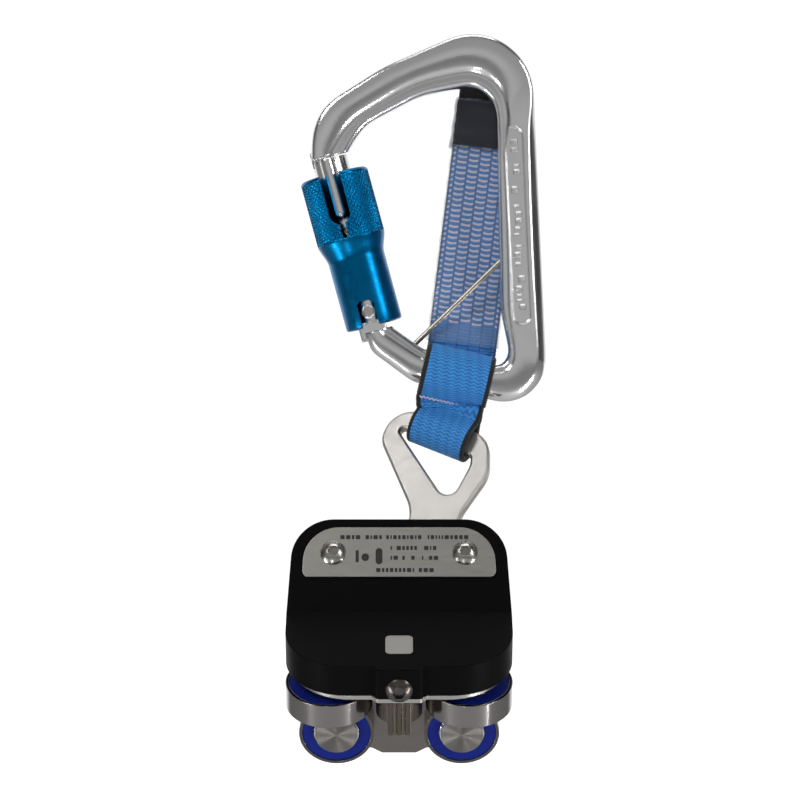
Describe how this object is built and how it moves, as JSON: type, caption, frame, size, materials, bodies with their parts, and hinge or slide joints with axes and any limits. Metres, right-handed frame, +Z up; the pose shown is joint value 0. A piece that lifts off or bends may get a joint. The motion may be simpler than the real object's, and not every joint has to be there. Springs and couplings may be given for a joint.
{
  "type": "rail fall arrest trolley",
  "caption": "Rail runner with four sealed rollers and a brake lever, on a short tear webbing with a locking carabiner",
  "frame": {"origin": "top of the inside of the carabiner, on its middle plane, where it hangs from a harness ring", "axes": "+X along the rail, +Y away from the user towards the rail side's back, +Z up"},
  "size_m": [0.0913, 0.0792, 0.2575],
  "materials": {
    "back_inner_rings": "polished bearing steel",
    "back_roller_axles": "turned",
    "back_roller_left_balls": "polished bearing steel",
    "back_roller_left_cage": "plain",
    "back_roller_left_ring": "polished bearing steel",
    "back_roller_left_seals": "moulded",
    "back_roller_right_balls": "polished bearing steel",
    "back_roller_right_cage": "plain",
    "back_roller_right_ring": "polished bearing steel",
    "back_roller_right_seals": "moulded",
    "brake_cam": "ground steel",
    "brake_lever": "bead blasted stainless steel",
    "captive_bar": "brushed stainless steel",
    "carabiner_frame": "polished",
    "chassis_plate": "brushed stainless steel",
    "clear_sleeve": "clear flexible plastic film",
    "connector_strap": "woven polyester webbing",
    "cover_front_screw": "turned",
    "end_band": "dark heat shrink tube",
    "front_cover": "satin black",
    "gate_body": "polished",
    "gate_hinge_rivet": "brushed stainless steel",
    "gate_plunger": "brushed stainless steel",
    "gate_spring": "spring steel",
    "guide_plate": "brushed stainless steel",
    "label_plate": "brushed stainless steel",
    "label_screws": "turned",
    "lever_return_spring": "spring steel",
    "locking_sleeve": "blue anodised",
    "pivot_bush": "plain",
    "pivot_clip": "brushed stainless steel",
    "pivot_pin": "brushed stainless steel",
    "side_inner_rings": "polished bearing steel",
    "side_roller_axles": "turned",
    "side_roller_left_balls": "polished bearing steel",
    "side_roller_left_cage": "plain",
    "side_roller_left_ring": "polished bearing steel",
    "side_roller_left_seals": "moulded",
    "side_roller_right_balls": "polished bearing steel",
    "side_roller_right_cage": "plain",
    "side_roller_right_ring": "polished bearing steel",
    "side_roller_right_seals": "moulded",
    "sleeve_guide_pin": "plain",
    "sleeve_spring": "spring steel",
    "strap_stitching": "thread",
    "tear_webbing_pack": "woven polyester webbing"
  },
  "bodies": {
    "carabiner": {"carabiner_frame": "carabiner_frame", "gate_hinge_rivet": "gate_hinge_rivet", "captive_bar": "captive_bar"},
    "gate": {"gate_body": "gate_body", "sleeve_guide_pin": "sleeve_guide_pin", "gate_spring": "gate_spring", "gate_plunger": "gate_plunger"},
    "sleeve_lift": {"sleeve_spring": "sleeve_spring"},
    "sleeve": {"locking_sleeve": "locking_sleeve"},
    "webbing": {"connector_strap": "connector_strap", "strap_stitching": "strap_stitching", "tear_webbing_pack": "tear_webbing_pack", "clear_sleeve": "clear_sleeve", "end_band": "end_band"},
    "lever": {"brake_lever": "brake_lever", "brake_cam": "brake_cam", "pivot_bush": "pivot_bush"},
    "chassis": {"chassis_plate": "chassis_plate", "guide_plate": "guide_plate", "front_cover": "front_cover", "label_plate": "label_plate", "label_screws": "label_screws", "cover_front_screw": "cover_front_screw", "pivot_pin": "pivot_pin", "pivot_clip": "pivot_clip", "lever_return_spring": "lever_return_spring", "side_inner_rings": "side_inner_rings", "back_inner_rings": "back_inner_rings", "side_roller_axles": "side_roller_axles", "back_roller_axles": "back_roller_axles"},
    "side_roller_left": {"side_roller_left_ring": "side_roller_left_ring", "side_roller_left_seals": "side_roller_left_seals"},
    "side_roller_left_race": {"side_roller_left_balls": "side_roller_left_balls", "side_roller_left_cage": "side_roller_left_cage"},
    "side_roller_right": {"side_roller_right_ring": "side_roller_right_ring", "side_roller_right_seals": "side_roller_right_seals"},
    "side_roller_right_race": {"side_roller_right_balls": "side_roller_right_balls", "side_roller_right_cage": "side_roller_right_cage"},
    "back_roller_left": {"back_roller_left_ring": "back_roller_left_ring", "back_roller_left_seals": "back_roller_left_seals"},
    "back_roller_left_race": {"back_roller_left_balls": "back_roller_left_balls", "back_roller_left_cage": "back_roller_left_cage"},
    "back_roller_right": {"back_roller_right_ring": "back_roller_right_ring", "back_roller_right_seals": "back_roller_right_seals"},
    "back_roller_right_race": {"back_roller_right_balls": "back_roller_right_balls", "back_roller_right_cage": "back_roller_right_cage"}
  },
  "joints": [
    {"name": "gate_hinge", "type": "hinge", "parent": "carabiner", "child": "gate", "pos_m": [-0.03334, 0, -0.07965], "axis": [0, 1, 0], "range_deg": [0, 17], "stiffness_Nm_per_rad": 0.02, "springref_deg": -28.65},
    {"name": "sleeve_lift", "type": "slide", "parent": "gate", "child": "sleeve_lift", "axis": [-0.2639, 0, 0.9646], "range_m": [0, 0.0018], "stiffness_N_per_m": 400, "springref_m": -0.002},
    {"name": "sleeve_turn", "type": "hinge", "parent": "sleeve_lift", "child": "sleeve", "pos_m": [-0.0458, 0, -0.0307], "axis": [0.2639, 0, -0.9646], "range_deg": [0, 90], "stiffness_Nm_per_rad": 0.01, "springref_deg": -28.65},
    {"name": "webbing_swing", "type": "hinge", "parent": "carabiner", "child": "webbing", "pos_m": [-0.0018, 0, -0.10197], "axis": [0.9744, 0, -0.225], "range_deg": [-45, 0]},
    {"name": "lever_eye_swing", "type": "hinge", "parent": "webbing", "child": "lever", "pos_m": [-0.00685, -0.00162, -0.1229], "axis": [0.8911, -0.2919, -0.3474], "range_deg": [-30, 30]},
    {"name": "lever_pivot", "type": "hinge", "parent": "lever", "child": "chassis", "pos_m": [-0.0224, -0.042, -0.2075], "axis": [0, -0.5, 0.866], "range_deg": [-27, 0], "stiffness_Nm_per_rad": 0.05, "springref_deg": 28.65},
    {"name": "side_roller_left_spin", "type": "hinge", "parent": "chassis", "child": "side_roller_left", "pos_m": [-0.0464, -0.03975, -0.2114], "axis": [0, -0.5, 0.866], "continuous": true},
    {"name": "side_roller_left_race_spin", "type": "hinge", "parent": "chassis", "child": "side_roller_left_race", "pos_m": [-0.0464, -0.03975, -0.2114], "axis": [0, -0.5, 0.866], "continuous": true},
    {"name": "side_roller_right_spin", "type": "hinge", "parent": "chassis", "child": "side_roller_right", "pos_m": [0.0016, -0.03975, -0.2114], "axis": [0, -0.5, 0.866], "continuous": true},
    {"name": "side_roller_right_race_spin", "type": "hinge", "parent": "chassis", "child": "side_roller_right_race", "pos_m": [0.0016, -0.03975, -0.2114], "axis": [0, -0.5, 0.866], "continuous": true},
    {"name": "back_roller_left_spin", "type": "hinge", "parent": "chassis", "child": "back_roller_left", "pos_m": [-0.0442, -0.02505, -0.22485], "axis": [0, 0.866, 0.5], "continuous": true},
    {"name": "back_roller_left_race_spin", "type": "hinge", "parent": "chassis", "child": "back_roller_left_race", "pos_m": [-0.0442, -0.02505, -0.22485], "axis": [0, 0.866, 0.5], "continuous": true},
    {"name": "back_roller_right_spin", "type": "hinge", "parent": "chassis", "child": "back_roller_right", "pos_m": [-0.0006, -0.02505, -0.22485], "axis": [0, 0.866, 0.5], "continuous": true},
    {"name": "back_roller_right_race_spin", "type": "hinge", "parent": "chassis", "child": "back_roller_right_race", "pos_m": [-0.0006, -0.02505, -0.22485], "axis": [0, 0.866, 0.5], "continuous": true}
  ],
  "couplings": [
    {"joint": "side_roller_left_race_spin", "follows": "side_roller_left_spin", "ratio": 0.62},
    {"joint": "side_roller_right_race_spin", "follows": "side_roller_right_spin", "ratio": 0.62},
    {"joint": "back_roller_left_race_spin", "follows": "back_roller_left_spin", "ratio": 0.63},
    {"joint": "back_roller_right_race_spin", "follows": "back_roller_right_spin", "ratio": 0.63}
  ]
}
